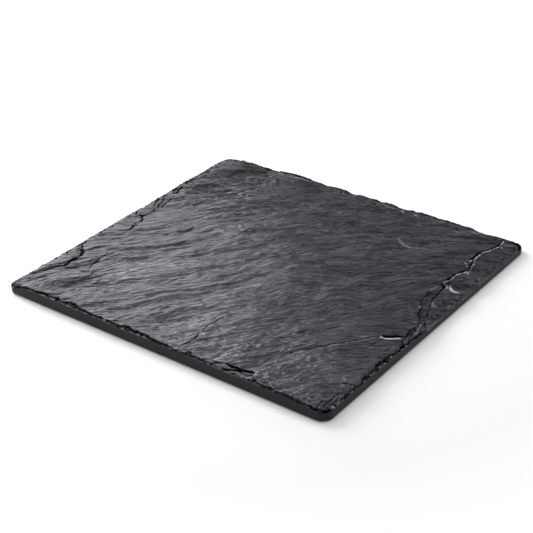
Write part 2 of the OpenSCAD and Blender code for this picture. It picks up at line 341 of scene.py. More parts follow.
# Distance from each wall, measured square to it, and position along it; how much painted shade lies on its
# ledge, how much it is specked with pale flecks painted as highlights of chips, and how ragged its chips are
over_x = np.clip(np.abs(gx) - half_w + corner_r, 0, corner_r)
over_y = np.clip(np.abs(gy) - half_d + corner_r, 0, corner_r)
sag_x = corner_r - np.sqrt(corner_r**2 - over_x**2)
sag_y = corner_r - np.sqrt(corner_r**2 - over_y**2)
FRONT, RIGHT, BACK, LEFT = range(4)
edges = [
    (front_edge, gx, half_d + gy - sag_x, 0.8, 0.15, 0.3),
    (right_edge, gy, half_w - gx - sag_y, 0.5, 0.4, 0.3),
    (back_edge, -gx, half_d - gy - sag_x, 1.1, 0.2, 0.25),
    (left_edge, -gy, half_w + gx - sag_y, 0.5, 0.2, 0.8)]


def chipped(value, steps):
    """Values gathered towards a few levels, so that noise turns into angular chips."""
    level = np.floor(value * steps)
    return (level + smooth(3 * (value * steps - level) - 1)) / steps


for number, (edge, s, t, shade, specks, ragged) in enumerate(edges):
    places, walls, ledges, lips, droops = np.array(edge, float).T
    seed = 20 + 10 * number
    jag = chipped(noise(s / 11, t / 30, seed), 3) + 0.6 * chipped(noise(s / 4.2, t / 12, seed + 1), 2)
    wall = np.interp(s, places, walls) + ragged * chipped(noise(s / 3, 0 * s, seed + 2), 3)
    lip = np.interp(s, places, lips) * (1 + 0.42 * jag) + 0.5 * noise(s / 2, 0 * s, seed + 7)
    ledge = wall + (np.interp(s, places, ledges) - wall) * np.clip(t / np.maximum(lip - 0.3, 0.5), 0, 1)
    ledge += 0.55 * chipped(noise(s / 3.4, t / 1.6, seed + 3), 2) * smooth(t / 0.6)
    gap = t - lip
    droop = np.interp(s, places, droops)
    shoulder = height - droop * np.exp(-np.clip(gap, 0, None) / 7)
    above = smooth((gap + 0.4) / 0.5)
    depth = np.clip(shoulder - ledge, 0, 1)
    cut = np.exp(-((gap + 0.6) / (0.5 + 0.35 * noise(s / 8, 0 * s, seed + 5))) ** 2)
    edge_height = ledge * (1 - above) + shoulder * above - 2.2 * cut * depth
    lower = edge_height < height
    height = np.where(lower, edge_height, height)
    below = np.where(lower, 1 - above, 0)
    # Painted shade: the groove under the lip and patches of the ledge are painted dark; pale flecks on the
    # ledge are painted highlights of the chips
    flecks = smooth(3 * noise(s / 2.4, t / 1.5, seed + 4) - 0.6)
    patches = smooth(shade + 1.4 * noise(s / 5, t / 2.5, seed + 6)) * smooth(t / 0.4)
    painted_shade = np.maximum(painted_shade, np.maximum(cut * depth, 0.95 * below * patches))
    wear_and_highlight = np.maximum(wear_and_highlight, specks * below * flecks * smooth(t / 0.5))
    riven = np.where(below > 0.5, 0.6, riven)

# Flakes lost from an edge: edge, drop at the inner side, fall of the floor per mm from there, lowest floor,
# width and darkness of the painted shade at the foot of the inner side, painted light and shade of the
# floor, outline in s and t
flakes = [
    (RIGHT, 0.5, 0.26, 6.9, 1, 0.2, 0.5, [
        (175, -40), (167, 9), (147, 15), (138, 16.5), (131.5, 18.3), (121, 21), (111, 22.8), (103, 23.5),
        (95, 21), (87, 17.5), (80, 14.5), (82, 16.5), (77, 19), (69, 22), (63, 22.8), (57, 22.6), (50, 17.5),
        (47.5, 15.5), (47, 20), (44.5, 22), (38, 25.3), (32, 25.6), (18, 24.2), (12, 22.5), (4.5, 17.4),
        (-3, 16), (-6.5, 14), (-10, 11), (-14, 8), (-19, 5.5), (-23, -40)]),
    (FRONT, 1.3, 0.02, 11, 2, 0.8, 0.4, [
        (62, -2), (64.5, 5.6), (72, 7.4), (80, 8.4), (90, 9), (97, 11.4), (101, 10.4), (103.5, 6.8),
        (107, 4), (112, 2), (118, -2)]),
    (LEFT, 0.8, 0.01, 9.6, 17, 0.6, -0.5, [
        (60, -2), (66, 7), (74, 10.5), (80, 15.5), (83, 18.5), (85, 22), (88, 24.5), (92, 25.8), (104, 26),
        (110, 26.5), (113, 27.5), (116, 26.5), (119, 23.5), (124, 21.5), (128, 20.5), (132, 18.5),
        (136.5, 15), (140.5, 11), (144, -2)]),
    (LEFT, 0.2, 0.01, 9.6, 1, 0, -1.8, [
        (112, 14), (110.5, 21), (113, 27.5), (116, 26.5), (119, 23.5), (124, 21.5), (128, 20.5), (132, 18.5),
        (136.5, 15), (140.5, 11), (132, 9), (120, 12)]),
    (LEFT, 0.6, 0.01, 9.6, 8, 0.5, -0.2, [
        (12, -2), (7, 7), (2, 12), (-0.8, 15.5), (0, 18), (3, 22), (5.5, 24.5), (8, 26), (10.5, 26),
        (13.5, 25), (16, 23.5), (17.5, 19), (17, 10), (18, -2)]),
    (LEFT, 0.5, 0.01, 9.6, 8, 0.4, -0.6, [
        (24, -2), (22, 8), (21, 16), (19.8, 24), (21.5, 26), (23.5, 28), (26, 29), (29, 29.5), (31.5, 27.5),
        (34, 24), (36, 21), (38, 12), (40, -2)]),
]
edge_halves = (half_d, half_w, half_d, half_w)


def edge_point(edge, s, t):
    """Point of the top at s along an edge and t in from its wall."""
    inner = edge_halves[edge] - t
    return ((s, -inner), (inner, s), (-s, inner), (-inner, -s))[edge]


def inside(x, y, outline):
    """True for the points of the grid inside an outline."""
    odd = np.zeros(x.shape, bool)
    for (x0, y0), (x1, y1) in zip(outline, outline[1:] + outline[:1]):
        if y0 != y1:
            crosses = (y0 > y) != (y1 > y)
            odd ^= crosses & (x < (x1 - x0) * (y - y0) / (y1 - y0) + x0)
    return odd


# The floors of the left-hand flakes start a little inside their outlines and leave room for the cracks there
left_rim = 1.7
for edge, drop, slope, lowest, foot_width, foot_shade, floor_painted_light, outline in flakes:
    outline = [edge_point(edge, s, t) for s, t in outline]
    part = around(outline, 4)
    x = stray_x[part]
    y = stray_y[part]
    depth = np.abs(line_distance(x, y, outline + outline[:1])[0]) * np.where(inside(x, y, outline), 1, -1)
    t = edges[edge][2][part]
    floor = height[part] - drop - slope * np.clip(depth, 0, None) + 0.25 * noise(x / 12, y / 12, 60)
    floor += 0.4 * chipped(noise(x / 2.6, y / 2.6, 62), 2) * np.exp(-np.clip(t, 0, None) / 2.2)
    floor = np.maximum(floor, lowest)
    start = left_rim if edge == LEFT else 0
    cut = smooth((depth - start) / 0.7)
    fall = np.clip(height[part] - floor, 0, None)
    height[part] -= cut * fall
    # Painted shade: a dark band along the foot of the inner side, and a darker floor where the floor's
    # painted light is below 0
    foot_end = foot_width * (1 + 0.5 * noise(x / 5, y / 5, 63))
    foot = foot_shade * smooth((depth - start) / 0.4) * smooth((foot_end - depth) / foot_width)
    foot *= smooth(fall / 0.4)
    dim = 0.3 * max(-floor_painted_light, 0) * cut * smooth(t / 6)
    painted_shade[part] = np.maximum(painted_shade[part] * (1 - cut), np.maximum(foot, dim))
    wear_and_highlight[part] *= 1 - cut
    painted_light[part] = painted_light[part] * (1 - cut) + floor_painted_light * cut
    riven[part] += cut * (0.8 - riven[part])

# The back edge is broken, with painted shade in a dark rim along it
s = -gx
t = edges[BACK][2]
rim_shade = smooth((7.4 + 1.5 * noise(s / 7, 0 * s, 64) - t) / 1.2) * smooth(t / 0.4)
rim_shade *= smooth(1.0 + 1.2 * noise(s / 9, t / 9, 69))
painted_shade = np.maximum(painted_shade, 0.95 * rim_shade)

# Crushed band at the foot of the right-hand flakes, just inside the wall: pits painted black as shade, and
# pale specks
s = gy
t = edges[RIGHT][2]
band = smooth((t - 1.8) / 1.2) * smooth((7.5 - t + 2 * noise(s / 9, t / 9, 65)) / 2.5)
band *= smooth((s + 40) / 15)
pits = smooth(5 * noise(s / 3.4, t / 2.4, 66) - 1.8)
specks = smooth(5 * noise(s / 2.6, t / 1.8, 67) - 2.8)
height -= 0.8 * band * pits
painted_shade = np.maximum(painted_shade, band * pits)
wear_and_highlight = np.maximum(wear_and_highlight, 0.4 * band * specks)

# Cracks, painted black inside as shade: width, depth, how pale the right-hand rim is painted as a highlight,
# points
cracks = [
    (5.4, 0.6, 0, [(157, -50.6), (160.5, -48), (164, -45), (168.5, -41.3)]),
    (1.9, 0.55, 0.4, [(124.5, -91), (133.5, -80), (139.5, -72), (146.4, -62), (150.4, -56.3), (156, -51.8)]),
    (1.6, 0.4, 0.2, [(106.5, -113), (114.5, -103), (124.5, -91)]),
    (1.5, 0.55, 0, [(28, -160), (28.5, -152), (30.3, -148), (30.5, -140), (27.5, -132), (27.5, -123),
                   (27, -112), (28, -101)]),
    (2.0, 0.3, 0, [(-128, -107), (-130, -96), (-131.5, -87), (-132.3, -76)]),
    (1.3, 0.45, 0, [(-118.5, -120), (-117, -115), (-118.5, -108.5)]),
    (2.2, 0.5, 1.0, [(153, 99), (153.3, 103), (153.8, 111), (155.4, 121), (158.5, 131.5), (160.2, 138),
                     (160.6, 147)]),
    (1.5, 0.6, 0.3, [(163, 79.5), (162, 81), (160, 87), (157, 95), (155.2, 101)]),
    (1.2, 0.4, 0, [(157.5, 88.5), (155, 92.5), (153.3, 96), (153, 100)]),
    (1.1, 0.25, 0, [(161.5, 83), (165, 88), (167.5, 92), (169, 91.5)]),
    (2.2, 0.55, 0.9, [(153.8, 58), (154, 63), (154.8, 69), (156.3, 74), (158, 78), (160.2, 83)]),
    (1.3, 0.45, 0, [(154, 58), (152.6, 53.5), (153.6, 50), (155.5, 47.5)]),
    (1.4, 0.55, 0, [(156.2, 59), (157.7, 54), (159.8, 50), (161.5, 48)]),
    (3.0, 0.7, 0, [(154, 47.3), (157, 46.3), (161, 46.6)]),
    (1.7, 0.55, 0, [(157.6, 46), (157, 41), (157.8, 35.2), (158.6, 29.4), (159, 23.6), (160.2, 20.5)]),
    (1.1, 0.35, 0, [(161, 18.5), (162.5, 14), (164, 9.5), (165.7, 4.3)]),
    (1.1, 0.4, 0, [(151.5, 33), (152, 25), (152.8, 18), (154.5, 12), (157, 7.5)]),
    (1.7, 0.55, 0, [(159.6, 4.5), (161, -3), (163, -6.5)]),
    (1.1, 0.4, 0, [(163, -6.5), (166, -10), (169, -14), (171, -18.5)]),
    (1.6, 0.55, 0, [(165.7, 4.3), (167.5, 0.5), (169.5, -2)]),
    (1.4, 0.55, 0, [(171.3, -19.5), (169.9, -24), (169.5, -30), (170.5, -36), (171.7, -41)]),
    (1.2, 0.4, 0, [(171.3, -24), (171.6, -32), (171.9, -40)]),
    (1.5, 0.55, 0, [(171.5, -41.5), (173, -47), (175, -53), (176.5, -57)]),
    (1.8, 0.7, 0.3, [(166.2, -124.7), (170.2, -123.2), (174.7, -121.2)]),
    (1.3, 0.45, 0, [(166, -161), (166, -152)]),
    (1.3, 0.4, 0, [(171, -156), (170.5, -146), (170.8, -136)]),
    (1.4, 0.45, 0, [(174, -152), (174, -140)]),
    (5.0, 0.5, 0, [(170, -160.6), (173, -159.8), (175.4, -157)]),
    (2.0, 0.7, 0, [(64.5, -157), (72, -155.2), (80, -154.2), (90, -153.6), (97, -151.2), (101, -152)]),
    (3.6, 0.8, 0, [(76, -160), (82, -157.5), (89, -154.5)]),
    (1.4, 0.55, 0, [(89, -155.5), (93, -156.5), (97, -157), (99.5, -154)]),
    (1.4, 0.5, 0, [(84, -160), (91, -161), (97, -161.5), (105, -160.2), (108, -158.8)]),
    (1.3, 0.45, 0, [(103, -156), (107, -158.6), (118, -157.4), (124, -159.6)]),
    (1.1, 0.4, 0, [(108, -156), (112, -154.6), (117, -155.6)]),
    (2.4, 0.15, 0, [(-169.5, -66.5), (-166.5, -74), (-164, -77), (-161.5, -80), (-158.5, -83)]),
    (5.2, 0.15, 0, [(-158.5, -83), (-155, -85.3), (-152.7, -88.5), (-151.3, -92.5)]),
    (4.8, 0.15, 0, [(-151.3, -92), (-150.9, -98), (-151, -104), (-150.7, -109.5)]),
    (5.2, 0.15, 0, [(-150.7, -109.5), (-149.8, -112.5), (-150.8, -115.5)]),
    (4.8, 0.15, 0, [(-150.8, -115.5), (-153.5, -119), (-155.5, -124), (-156.5, -128), (-158.5, -132),
                   (-161.5, -136)]),
    (5.6, 0.15, 0, [(-161, -135.8), (-164, -139), (-168, -141.5)]),
    (1.4, 0.3, 0, [(-170.5, -91), (-167.5, -94), (-164.5, -96.5), (-161.5, -95.5)]),
    (3.6, 0.45, 0, [(-161.5, 0.8), (-159, 0.2), (-157, -0.8)]),
    (3.4, 0.15, 0, [(-157, -0.8), (-155, -3), (-152.5, -5.5), (-151.1, -8), (-151, -10.5)]),
    (2.4, 0.15, 0, [(-151, -10.5), (-152, -13.5), (-153.5, -16)]),
    (3.6, 0.15, 0, [(-153, -20), (-151, -21.5), (-149, -23.5), (-148, -26), (-147.5, -29)]),
    (2.8, 0.15, 0, [(-147.5, -29), (-149.5, -31.5), (-153, -34), (-156, -36)]),
    (4.4, 0.25, 0, [(-150.3, -18.6), (-148.8, -18.4)]),
    (2.2, 0.25, 0, [(-157.5, 17.5), (-156, 14), (-155.5, 10), (-157, 5), (-158, 1)]),
    (2.6, 0.3, 0, [(-169.8, 47), (-167, 43)]),
    (2.2, 0.25, 0, [(-167, 43), (-163.5, 38), (-161.5, 32)]),
    (2.8, 0.3, 0, [(-161.5, 32), (-159.5, 27), (-157, 22.5)]),
    (2.4, 0.25, 0, [(-157.8, 44), (-157.5, 37), (-157, 32), (-156, 29), (-155, 26)]),
    (3.2, 0.5, 0, [(-170.5, 35), (-168, 34.3)]),
    (2.4, 0.25, 0, [(-168.3, 33), (-166, 27), (-164, 23.5)]),
    (3.6, 0.3, 0, [(-168.5, 74), (-167, 70), (-166, 66), (-163.5, 61.5), (-163, 57)]),
    (4.0, 0.3, 0, [(-170, 66), (-168.5, 62), (-169.5, 58)]),
    (2.4, 0.25, 0, [(-166, 57), (-167, 50), (-168, 46)]),
    (2.8, 0.5, 0, [(-172.5, 87), (-171, 82.5)]),
    (2.6, 0.4, 0, [(-168.5, 4), (-166, 0)]),
    (1.4, 0.45, 0, [(111.5, 148), (115, 145), (118, 142.5)]),
    (1.8, 0.45, 0, [(20, 147.5), (22.5, 144)]),
    (1.6, 0.5, 0, [(48, 151), (51, 152.5)]),
    (1.3, 0.45, 0, [(-25, 153), (-20, 150)]),
    (1.3, 0.45, 0, [(-106, 154), (-103, 151.5)]),
]
# Notches in the left edge, painted dark as shade, by their place along it
for y in (-146, -138, -120, -106, -92, -88, -73, -46, -40, -30, 6, 38, 50, 64, 82, 89, 118, 137):
    cracks.append((3.2, 0.4, 0, [(-174, y + 1.5), (-168.8, y - 1)]))
for width, deep, pale, points in cracks:
    part = around(points, 5)
    away = line_distance(stray_x[part], stray_y[part], points)[0]
    opened = np.clip(1 - 2 * np.abs(away) / width, 0, 1)
    height[part] -= deep * opened
    # Painted shade inside the crack and a painted highlight along its right-hand rim
    painted_shade[part] = np.maximum(painted_shade[part], smooth(2 * opened))
    rim_highlight = np.minimum(1.6 * np.exp(-((away - 0.5 * width - 0.2) / 0.4) ** 2), 1) * (away > 0)
    rim_highlight *= smooth(0.9 + 1.6 * noise(gx[part] / 3, gy[part] / 3, 68))
    wear_and_highlight[part] = np.maximum(wear_and_highlight[part], pale * rim_highlight)

# Pale marks, partly painted highlights on broken rims and partly scuffs: half width, paleness, points
highlights_and_scuffs = [
    (0.6, 1.0, [(155, -53), (156.5, -52.8), (160.5, -51.2), (165, -48.6), (169.2, -44.6)]),
    (0.8, 1.0, [(154.8, -52.6), (156.6, -52.4)]),
    (0.6, 0.9, [(152.4, 94.6), (153.6, 92.4)]),
    (0.6, 0.8, [(155.4, 90.6), (156.4, 88.6)]),
    (0.6, 0.7, [(158, 97), (159, 94)]),
    (0.7, 1.0, [(162, 80), (163.2, 78.6)]),
    (0.6, 1.0, [(154.4, 57), (153.8, 54.5)]),
    (0.6, 0.9, [(153.4, 52.8), (154, 51)]),
    (0.7, 1.0, [(159.2, 47), (160.8, 46.4)]),
    (0.6, 0.18, [(155.3, 44.6), (152.8, 42), (151.6, 38), (151.1, 31)]),
    (0.75, 1.0, [(160.6, 50.8), (162, 48.4), (163.9, 46.8), (166.7, 46.4), (171.1, 48.6)]),
    (0.6, 0.35, [(160, 22), (162, 18)]),
    (1.2, 0.2, [(161.5, 18), (164, 18), (166, 19)]),
    (0.6, 0.2, [(156.7, 7), (157.8, 4)]),
    (0.6, 0.25, [(171.6, -5), (172.8, -7)]),
    (0.45, 0.4, [(173, -20.5), (174.4, -27), (174.5, -33)]),
    (0.6, 0.5, [(171.3, -17.8), (172.6, -19)]),
    (0.7, 0.5, [(163.8, 139.6), (165.4, 138.6)]),
    (0.9, 0.3, [(164, 145), (170, 149.5)]),
    (0.8, 0.35, [(77, 99), (83, 94), (89, 91.5), (94, 91), (101, 94), (109, 99)]),
    (1.0, 0.4, [(63.5, 149.5), (69, 148.5)]),
    (1.0, 0.35, [(115.5, 141), (118, 140)]),
    (0.8, 0.6, [(50.5, 149.5), (52.8, 146.5)]),
    (0.8, 0.4, [(-21, 151.8), (-18.5, 149)]),
    (1.5, 0.24, [(-104, 154), (-96, 153.5)]),
    (1.5, 0.24, [(-88, 153), (-77, 154), (-66, 153.5)]),
    (1.3, 0.24, [(27, 150), (36, 148.5), (47, 150)]),
    (1.3, 0.16, [(84, 151), (96, 151.5)]),
    (1.2, 0.2, [(124, 149.5), (138, 150)]),
    (1.1, 0.3, [(67.5, -156.6), (73, -155.8), (78.5, -155.8)]),
    (1.0, 0.2, [(84, -158), (91, -157.6), (99, -158)]),
    (0.9, 0.5, [(101.5, -151.6), (103.5, -155)]),
    (0.9, 0.4, [(168, -159.6), (171, -160.6)]),
]
for half_width, pale, points in highlights_and_scuffs:
    part = around(points, 6)
    away, along = line_distance(stray_x[part], stray_y[part], points)
    fade = np.sqrt(np.clip(4 * along * (1 - along), 0.1, 1))
    highlight_and_scuff = fade * np.minimum(1.6 * np.exp(-((away / half_width) ** 2)), 1)
    wear_and_highlight[part] = np.maximum(wear_and_highlight[part], pale * highlight_and_scuff)
    # A pale mark clears the painted shade under it
    painted_shade[part] *= 1 - pale * highlight_and_scuff

# Ridges stay under the top of the press, rounded off as they near it
rounding = 0.7
least_wall = 4
soft_z = ridge_z - rounding
height = np.where(height > soft_z, soft_z + rounding * np.tanh((height - soft_z) / rounding), height)
height = np.clip(height, skirt_z + least_wall, None)

# Skirt and underside: rows that follow the outline, as distance in from the wall and height
ceiling_z = 7.2
wall_rows = 7
rim_rows = [
    (0, 1.7), (0.1, 1.36), (0.32, 1.1), (0.7, 1.0), (3.4, 1.0), (3.8, 1.08), (4.1, 1.3), (6.5, 3.7),
    (9.2, 6.4), (9.6, 7.0), (9.75, ceiling_z)]
# Foot boss from the ceiling to the bottom of its seat, as radius and height
boss_inset = 35
boss_x = half_w - boss_inset
boss_y = half_d - boss_inset
boss_rows = [
    (11.7, ceiling_z), (11.2, 7.02), (11, 6.6), (11, 2.7), (10.87, 2.38), (10.55, 2.25), (6.95, 2.25),
    (6.7, 2.33), (6.6, 2.55), (6.6, 3.1), (6.5, 3.25), (3, 3.25)]
boss_sides = 64

count_x, count_y = gx.shape
index = np.arange(count_x * count_y).reshape(count_x, count_y)
ring = np.concatenate([index[:-1, 0], index[-1, :-1], index[:0:-1, -1], index[0, :0:-1]])
verts = [np.stack([gx, gy, height], -1).reshape(-1, 3)]
top_faces = np.stack([index[:-1, :-1], index[1:, :-1], index[1:, 1:], index[:-1, 1:]], -1).reshape(-1, 4)
faces = top_faces.tolist()
top_count = len(faces)

ring_at = verts[0][ring]
out_x = np.sign(ring_at[:, 0]) * np.clip(np.abs(ring_at[:, 0]) - half_w + corner_r, 0, None)
out_y = np.sign(ring_at[:, 1]) * np.clip(np.abs(ring_at[:, 1]) - half_d + corner_r, 0, None)
outward = np.stack([out_x, out_y], -1) / np.hypot(out_x, out_y)[:, None]
ring_size = len(ring)
total = len(verts[0])


def add_row(points):
    """Adds a closed row of points and returns their numbers."""
    global total
    verts.append(points)
    total += len(points)
    return np.arange(total - len(points), total)


def join_rows(upper, lower):
    """Faces between two closed rows, the upper one first."""
    return np.stack([upper, lower, np.roll(lower, -1), np.roll(upper, -1)], -1).tolist()


rows = [ring]
for step in range(1, wall_rows):
    z = ring_at[:, 2] + (rim_rows[0][1] - ring_at[:, 2]) * step / wall_rows
    rows.append(add_row(np.column_stack([ring_at[:, :2], z])))
for inset, z in rim_rows:
    rows.append(add_row(np.column_stack([ring_at[:, :2] - inset * outward, np.full(ring_size, z)])))
for upper, lower in zip(rows, rows[1:]):
    faces += join_rows(upper, lower)

turns = np.arange(boss_sides) * 2 * math.pi / boss_sides
holes = []
for side_x, side_y in ((-1, -1), (1, -1), (-1, 1), (1, 1)):
    boss = []
    for radius, z in boss_rows:
        x = side_x * boss_x + radius * np.cos(turns)
        y = side_y * boss_y + radius * np.sin(turns)
        boss.append(add_row(np.column_stack([x, y, np.full(boss_sides, z)])))
    for upper, lower in zip(boss, boss[1:]):
        faces += join_rows(lower, upper)
    faces.append(boss[-1][::-1].tolist())
    holes.append(boss[0])

ceiling = [rows[-1], *holes]
flat = np.concatenate(verts)
corners = np.concatenate(ceiling)
loops = [[Vector((*flat[v][:2], 0)) for v in row] for row in ceiling]
ceiling_count = -len(faces)
for triangle in tessellate_polygon(loops):
    a, b, c = (corners[v] for v in triangle)
    ab = flat[b] - flat[a]
    ac = flat[c] - flat[a]
    faces.append([a, c, b] if ab[0] * ac[1] > ab[1] * ac[0] else [a, b, c])
ceiling_count += len(faces)

# Map for the baked finish: the top laid flat, the wall and rim in four strips below it, and beside it the
# ceiling and the four bosses, each boss spread out as a disc
map_left = 0.01
map_width = 0.74
top_foot = 0.29
strip_foot = 0.02
strip_pitch = 0.06
strip_height = 0.05
disc_place = (0.825, 0.62)
disc_pitch = 0.11
disc_radii = (0.05, 0.01)
ceiling_left = 0.77
ceiling_width = 0.22
top_uv = (map_left, top_foot) + (verts[0][:, :2] + (half_w, half_d)) * map_width / (2 * half_w)
uv = [top_uv[top_faces].reshape(-1, 2)]
sides = np.repeat(range(4), (count_x - 1, count_y - 1, count_x - 1, count_y - 1))
side_sizes = np.bincount(sides)[sides]
side_starts = np.searchsorted(sides, sides)
for number in range(len(rows) - 1):
    u0 = map_left + map_width * (np.arange(ring_size) - side_starts) / side_sizes
    u1 = u0 + map_width / side_sizes
    v0 = strip_foot + strip_pitch * sides + strip_height * number / (len(rows) - 1)
    v1 = v0 + strip_height / (len(rows) - 1)
    uv.append(np.stack([u0, v0, u0, v1, u1, v1, u1, v0], -1).reshape(-1, 2))
for number in range(4):
    middle = np.array(disc_place) + disc_pitch * np.array([number % 2, number // 2])
    circle = np.stack([np.cos(turns), np.sin(turns)], -1)
    spread = [middle + r * circle for r in np.linspace(*disc_radii, len(boss_rows))]
    for upper, lower in zip(spread, spread[1:]):
        quads = np.stack([lower, upper, np.roll(upper, -1, 0), np.roll(lower, -1, 0)], 1)
        uv.append(quads.reshape(-1, 2))
    uv.append(spread[-1][::-1])
ceiling_faces = np.array(faces[-ceiling_count:])
ceiling_at = flat[ceiling_faces.ravel()][:, :2] + (half_w, half_d)
uv.append((ceiling_left, top_foot) + ceiling_at * ceiling_width / (2 * half_w))

mesh = bpy.data.meshes.new("tray_body_moulding")
mesh.from_pydata((flat * MM).tolist(), [], faces)
mesh.uv_layers.new(name="OFBake").data.foreach_set("uv", np.concatenate(uv).astype(np.float32).ravel())
mesh.validate()


def add_mask(name, values):
    """Stores a mask of the top on the mesh; the skirt and underside have none of it."""
    mask = mesh.attributes.new(name, "FLOAT", "POINT")
    padded = np.concatenate([values.ravel(), np.zeros(total - values.size)])
    mask.data.foreach_set("value", padded.astype(np.float32))


add_mask("painted_shade", painted_shade)
add_mask("wear_and_highlight", wear_and_highlight)
add_mask("painted_light", painted_light)
add_mask("riven", riven)
grain = np.zeros((total, 3), np.float32)
grain[:gx.size, 0] = along_grain.ravel()
grain[:gx.size, 1] = across_grain.ravel()
mesh.attributes.new("grain", "FLOAT_VECTOR", "POINT").data.foreach_set("vector", grain.ravel())

tray = bpy.data.objects.new("tray_body_moulding", mesh)
bpy.context.scene.collection.objects.link(tray)
mesh.shade_smooth()
mesh.set_sharp_from_angle(angle=math.radians(50))


def plug(tree, socket, value):
    """Links a socket to an input, or sets the input to a fixed value."""
    if isinstance(value, bpy.types.NodeSocket):
        tree.links.new(value, socket)
    else:
        socket.default_value = value


def add_node(tree, kind, **inputs):
    """Adds a shader node with its named inputs linked or set."""
    node = tree.nodes.new(kind)
    for name, value in inputs.items():
        plug(tree, node.inputs[name.replace("_", " ")], value)
    return node


def new_material(name):
    """An empty material with its node tree and its Principled shader."""
    material = bpy.data.materials.new(name)
    material.use_nodes = True
    return material, material.node_tree, material.node_tree.nodes["Principled BSDF"]


def math_node(tree, operation, *values):
    """Result of a Math node on two or three values."""
    node = tree.nodes.new("ShaderNodeMath")
    node.operation = operation
    for socket, value in zip(node.inputs, values):
        plug(tree, socket, value)
    return node.outputs[0]


def mix_colour(tree, share, a, b):
    """Colour a, or b where the share is 1."""
    node = tree.nodes.new("ShaderNodeMix")
    node.data_type = "RGBA"
    for number, value in ((0, share), (6, a), (7, b)):
        plug(tree, node.inputs[number], value)
    return node.outputs[2]


def mask_of(tree, name):
    """Attribute node that reads a mask of the mesh."""
    node = tree.nodes.new("ShaderNodeAttribute")
    node.attribute_name = name
    return node


def weigh(tree, base, *parts):
    """A base value plus parts: each a socket, the value it swings about and its weight."""
    summed = base
    for socket, middle, weight in parts:
        swing = math_node(tree, "SUBTRACT", socket, middle)
        summed = math_node(tree, "MULTIPLY_ADD", swing, weight, summed)
    return summed


# Moulded melamine has a fine speckle in its gloss and its colour; rubber has a coarser one
speckle = bpy.data.node_groups.new("moulded speckle", "ShaderNodeTree")
speckle.interface.new_socket("Grain size", in_out="INPUT", socket_type="NodeSocketFloat")
speckle.interface.new_socket("Speckle", in_out="OUTPUT", socket_type="NodeSocketFloat")
group_in = speckle.nodes.new("NodeGroupInput")
group_out = speckle.nodes.new("NodeGroupOutput")
place = speckle.nodes.new("ShaderNodeTexCoord")
per_metre = math_node(speckle, "DIVIDE", 1.0, group_in.outputs["Grain size"])
grains = add_node(speckle, "ShaderNodeTexNoise", Vector=place.outputs["Object"], Scale=per_metre, Detail=3.0,
                  Roughness=0.6)
speckle.links.new(grains.outputs["Fac"], group_out.inputs["Speckle"])


def add_speckle(tree, size):
    """Places the speckle in a material, with its grain size in metres."""
    node = tree.nodes.new("ShaderNodeGroup")
    node.node_tree = speckle
    node.inputs["Grain size"].default_value = size
    return node.outputs["Speckle"]


def streaks(tree, grain_place, per_mm, detail, wander):
    """Noise drawn out along the grain, with its lumps per millimetre along and across it."""
    spread = add_node(tree, "ShaderNodeMapping", Vector=grain_place, Scale=(*per_mm, 1))
    texture = add_node(tree, "ShaderNodeTexNoise", Vector=spread.outputs[0], Scale=1.0, Detail=detail,
                       Roughness=0.62, Distortion=wander)
    return texture.outputs["Fac"]


def chips(tree, grain_place, per_mm):
    """A value of its own for each of many ragged chips, by their number per millimetre along and across."""
    spread = add_node(tree, "ShaderNodeMapping", Vector=grain_place, Scale=(*per_mm, 1))
    frayed = add_node(tree, "ShaderNodeTexNoise", Vector=spread.outputs[0], Scale=1.7, Detail=2.0)
    place = tree.nodes.new("ShaderNodeVectorMath")
    place.operation = "MULTIPLY_ADD"
    for socket, value in zip(place.inputs, (frayed.outputs["Color"], (1.1, 1.1, 0), spread.outputs[0])):
        plug(tree, socket, value)
    cells = add_node(tree, "ShaderNodeTexVoronoi", Vector=place.outputs[0], Scale=1.0)
    return cells.outputs["Color"]


def layers(tree, grain_place, per_mm, number):
    """Thin layers split off along the grain: how far up each layer is, and 1 in the seam at its foot."""
    level = streaks(tree, grain_place, per_mm, 2.0, 0.7)
    part = math_node(tree, "FRACT", math_node(tree, "MULTIPLY", level, number))
    seam = math_node(tree, "MAXIMUM", math_node(tree, "MULTIPLY_ADD", part, -6.0, 1.0), 0.0)
    return part, seam


# Colours of the top: the two ends of the grain pattern, whose streaks paint the light and shade of the fine
# relief over the melamine's own speckle, a pale grey for worn edges and painted highlights, and a black for
# painted shade
melamine_and_shade_dark = (0.003, 0.0031, 0.0035, 1)
melamine_and_sheen_light = (0.066, 0.0684, 0.0765, 1)
wear_and_highlight_grey = (0.92, 0.93, 0.96, 1)
painted_shade_black = (0.003, 0.003, 0.0034, 1)
riven_finish, tree, shader = new_material("riven_melamine")
grain_place = mask_of(tree, "grain").outputs["Vector"]
beds = streaks(tree, grain_place, (0.02, 0.095), 2.0, 0.5)
fibres = streaks(tree, grain_place, (0.045, 0.24), 1.0, 0.6)
threads = streaks(tree, grain_place, (0.075, 0.46), 1.0, 0.6)
large_chips = chips(tree, grain_place, (0.06, 0.34))
small_chips = chips(tree, grain_place, (0.12, 0.8))
broad_layers, broad_seams = layers(tree, grain_place, (0.014, 0.07), 9)
thin_layers, thin_seams = layers(tree, grain_place, (0.036, 0.22), 8)
fine = add_speckle(tree, 0.0013)
strength = mask_of(tree, "riven").outputs["Fac"]
painted_light_mask = mask_of(tree, "painted_light").outputs["Fac"]
